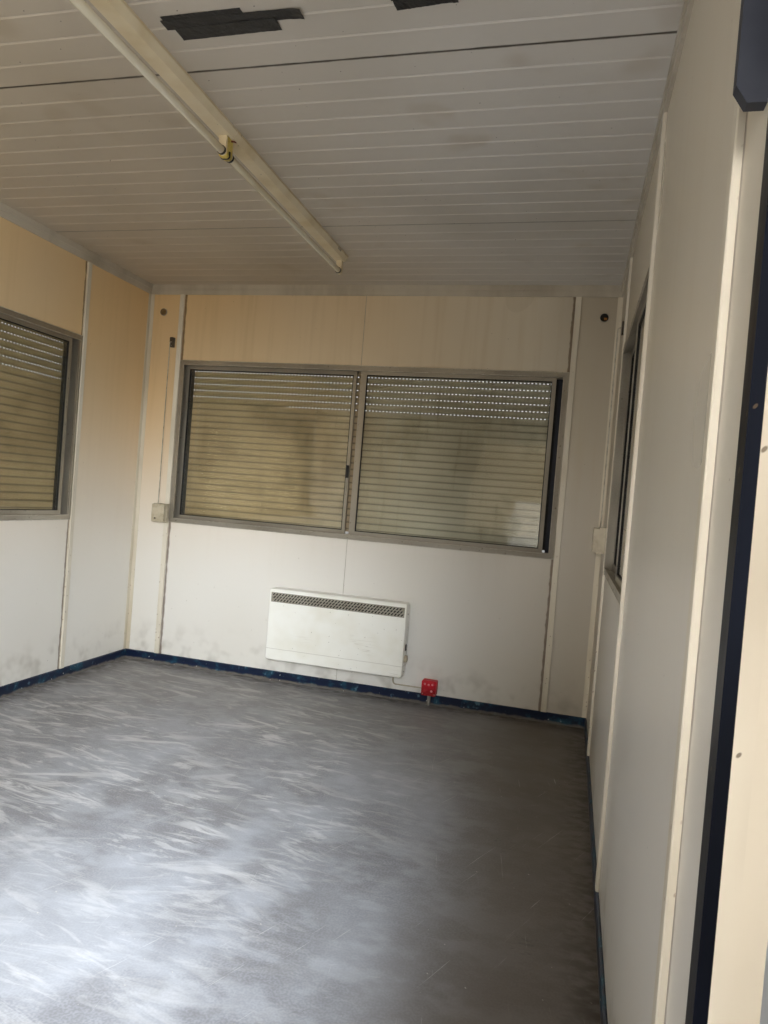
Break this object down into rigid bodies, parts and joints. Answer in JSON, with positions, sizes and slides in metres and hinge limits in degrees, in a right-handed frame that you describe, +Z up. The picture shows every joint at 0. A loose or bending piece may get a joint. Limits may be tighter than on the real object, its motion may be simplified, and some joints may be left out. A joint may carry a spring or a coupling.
{
  "type": "portable site cabin",
  "caption": "Portable site cabin: steel framed room of cream sandwich panels with shuttered sliding windows, an outward opening door, panel heater and batten lights",
  "frame": {"origin": "middle of the underside of the steel base, level with the ground", "axes": "+Z up; +Y along the cabin towards the end wall with the wide window; +X towards the side wall with the door"},
  "size_m": [3.8615, 6.123, 2.6919],
  "materials": {
    "cream_panel": "cream stoved steel skin, satin, lightly soiled",
    "navy_steel": "navy paint on rolled steel, chipped at the edges",
    "galvanised_steel": "galvanised sheet",
    "floor_board": "chipboard",
    "floor_sheet": "grey sheet flooring, scuffed and dusty",
    "ceiling_sheet": "ribbed white ceiling sheet, dull with age",
    "roof_sheet": "pale coated roof sheet, streaked",
    "trim": "cream trims and joint strips",
    "skirting": "navy painted skirting, scuffed",
    "aluminium": "mill finish window sections, dull",
    "window_glass": "clear glass, dusty",
    "shutter_slats": "grey beige shutter slats",
    "shutter_housing": "cream rolled aluminium",
    "black_plastic": "black plastic",
    "ivory_plastic": "ivory plastic",
    "cord": "braided cord, soiled",
    "dark_plastic": "anthracite plastic",
    "heater_enamel": "ivory enamel, slightly yellowed",
    "heater_grille": "pressed grille",
    "red_plastic": "red plastic",
    "grey_plastic": "grey conduit",
    "light_housing": "white enamelled batten, yellowed",
    "tube_glass": "opal tube"
  },
  "bodies": {
    "cabin": {"base_side_rails": "navy_steel", "base_end_rails": "navy_steel", "corner_blocks": "navy_steel", "lifting_lugs": "navy_steel", "fork_pockets": "navy_steel", "floor_joists": "galvanised_steel", "centre_beam": "navy_steel", "floor_board": "floor_board", "floor_covering": "floor_sheet", "roof_side_rails": "navy_steel", "roof_end_rails": "navy_steel", "corner_posts": "navy_steel", "ceiling_panels": "ceiling_sheet", "roof_joists": "galvanised_steel", "roof_sheet": "roof_sheet", "back_wall_side_panels": "cream_panel", "back_wall_window_panels": "cream_panel", "front_wall_panels": "cream_panel", "left_wall_panels": "cream_panel", "left_wall_window_panels": "cream_panel", "right_wall_panels": "cream_panel", "right_wall_window_panels": "cream_panel", "door_panel": "cream_panel", "panel_joint_strips": "trim", "cornice": "trim", "skirting": "skirting", "corner_trims": "trim", "window_frames": "aluminium", "window_sashes": "aluminium", "window_glass": "window_glass", "window_latches": "black_plastic", "shutter_curtains": "shutter_slats", "shutter_guides": "aluminium", "shutter_boxes": "shutter_housing", "shutter_winders": "ivory_plastic", "cord_guides": "ivory_plastic", "winder_cords": "cord", "door_frame": "trim", "frame_hinges": "galvanised_steel", "heater_case": "heater_enamel", "heater_grille": "heater_grille", "heater_brackets": "galvanised_steel", "heater_knob": "ivory_plastic", "red_socket": "red_plastic", "socket_conduit": "grey_plastic", "heater_lead": "ivory_plastic", "light_trays": "light_housing", "light_holders": "ivory_plastic", "light_tubes": "tube_glass", "wall_vents": "ivory_plastic", "wall_trunking": "dark_plastic"},
    "door": {"door_leaf_frame": "trim", "door_leaf_panel": "cream_panel", "leaf_hinges": "galvanised_steel", "door_handles": "black_plastic"}
  },
  "joints": [
    {"name": "door_hinge", "type": "hinge", "parent": "cabin", "child": "door", "pos_m": [1.462, -0.1705, 0.2], "axis": [0, 0, 1], "range_deg": [-90, 25]}
  ]
}
